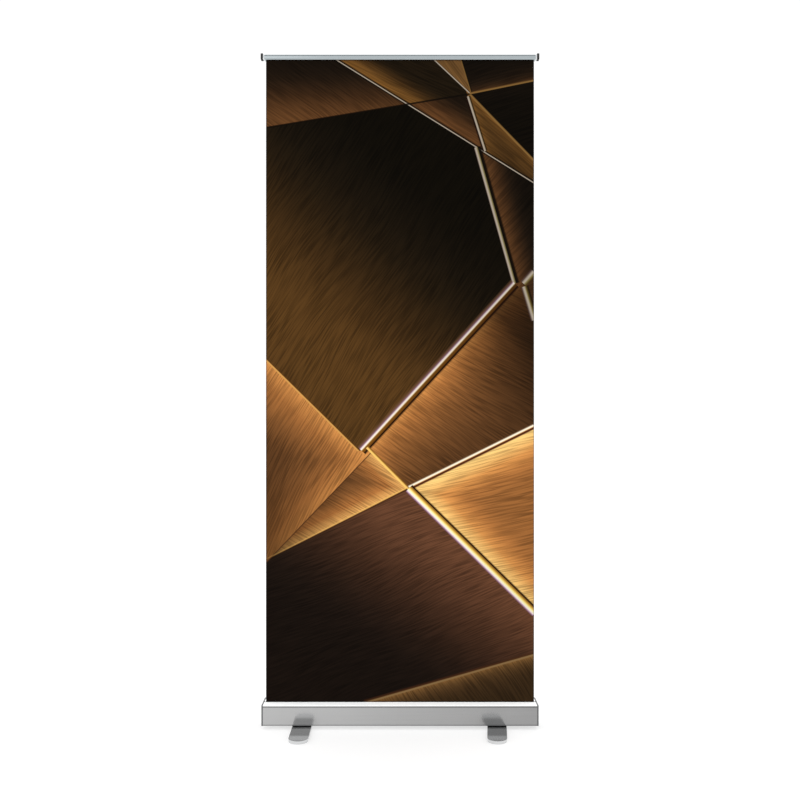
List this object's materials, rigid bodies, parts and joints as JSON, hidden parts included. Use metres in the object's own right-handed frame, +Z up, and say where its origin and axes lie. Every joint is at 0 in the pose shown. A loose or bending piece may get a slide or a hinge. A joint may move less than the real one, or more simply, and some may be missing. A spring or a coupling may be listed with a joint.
{
  "type": "roll-up banner stand",
  "caption": "Roll-up banner stand: aluminium base with a sprung roller, a print clamped in a top rail on a telescopic pole, and swivel feet.",
  "frame": {"origin": "on the floor, midway between the tips of the feet and midway along the base", "axes": "+X along the base, +Y towards the back where the pole stands, +Z up; the print faces -Y"},
  "size_m": [0.882, 0.31, 2.1327],
  "materials": {
    "anodised_aluminium": "satin silver anodised",
    "grey_plastic": "fine moulded texture",
    "black_plastic": "satin moulded",
    "printed_film": "satin printed film in browns and gold, pale grey back",
    "steel": "zinc plated",
    "foot_steel": "polished plate",
    "rubber": "matt",
    "felt": "short pile"
  },
  "bodies": {
    "base": {"base_housing": "anodised_aluminium", "end_cap_left": "grey_plastic", "end_cap_right": "grey_plastic", "left_cap_screw_1": "steel", "left_cap_screw_2": "steel", "left_cap_screw_3": "steel", "left_cap_screw_4": "steel", "right_cap_screw_1": "steel", "right_cap_screw_2": "steel", "right_cap_screw_3": "steel", "right_cap_screw_4": "steel", "slot_felt_front": "felt", "slot_felt_rear": "felt", "spring_rod": "steel", "idle_axle": "steel", "banner": "printed_film", "pole_socket": "black_plastic", "pole_lower": "anodised_aluminium", "pivot_bolt_left": "steel", "pivot_bolt_right": "steel", "pivot_washer_left": "black_plastic", "pivot_washer_right": "black_plastic", "pivot_nut_left": "steel", "pivot_nut_right": "steel"},
    "roller": {"roller_tube": "anodised_aluminium", "roller_plug_left": "black_plastic", "roller_plug_right": "black_plastic", "spring_anchor": "black_plastic", "roller_spring": "steel", "leader_roll": "printed_film"},
    "pole_middle": {"pole_middle": "anodised_aluminium", "middle_stop_plug": "black_plastic"},
    "pole_upper": {"pole_upper": "anodised_aluminium", "upper_stop_plug": "black_plastic", "pole_tip": "black_plastic"},
    "collar_lower": {"collar_lower": "black_plastic"},
    "collar_upper": {"collar_upper": "black_plastic"},
    "rail": {"rail_body": "anodised_aluminium", "rail_neck_left": "anodised_aluminium", "rail_neck_right": "anodised_aluminium", "rail_cap_left": "black_plastic", "rail_cap_right": "black_plastic"},
    "rail_jaw": {"rail_jaw": "anodised_aluminium"},
    "foot_left": {"foot_left": "foot_steel", "foot_left_pad_front": "rubber", "foot_left_pad_rear": "rubber"},
    "foot_right": {"foot_right": "foot_steel", "foot_right_pad_front": "rubber", "foot_right_pad_rear": "rubber"}
  },
  "joints": [
    {"name": "pole_middle_slide", "type": "slide", "parent": "base", "child": "pole_middle", "axis": [0, 0, 1], "range_m": [-0.62, 0]},
    {"name": "pole_upper_slide", "type": "slide", "parent": "pole_middle", "child": "pole_upper", "axis": [0, 0, 1], "range_m": [-0.62, 0], "deforming": ["banner"]},
    {"name": "collar_lower_twist", "type": "hinge", "parent": "base", "child": "collar_lower", "pos_m": [0, 0.05, 0.747], "axis": [0, 0, 1], "range_deg": [0, 90]},
    {"name": "collar_upper_twist", "type": "hinge", "parent": "pole_middle", "child": "collar_upper", "pos_m": [0, 0.05, 1.417], "axis": [0, 0, 1], "range_deg": [0, 90]},
    {"name": "rail_unhook", "type": "slide", "parent": "pole_upper", "child": "rail", "axis": [0, 0, 1], "range_m": [0, 0.01]},
    {"name": "rail_jaw_open", "type": "hinge", "parent": "rail", "child": "rail_jaw", "pos_m": [0, 0.0225, 2.126], "axis": [-1, 0, 0], "range_deg": [0, 50]},
    {"name": "roller_spin", "type": "hinge", "parent": "base", "child": "roller", "pos_m": [0, 0.0092, 0.044], "axis": [1, 0, 0], "continuous": true},
    {"name": "foot_left_swivel", "type": "hinge", "parent": "base", "child": "foot_left", "pos_m": [-0.308, 0.03, 0.006], "axis": [0, 0, 1], "range_deg": [0, 90]},
    {"name": "foot_right_swivel", "type": "hinge", "parent": "base", "child": "foot_right", "pos_m": [0.308, 0.03, 0.006], "axis": [0, 0, 1], "range_deg": [-85, 5]}
  ],
  "couplings": [
    {"joint": "pole_middle_slide", "follows": "pole_upper_slide", "ratio": 1},
    {"joint": "roller_spin", "follows": "pole_upper_slide", "rad_per_m": 121}
  ]
}
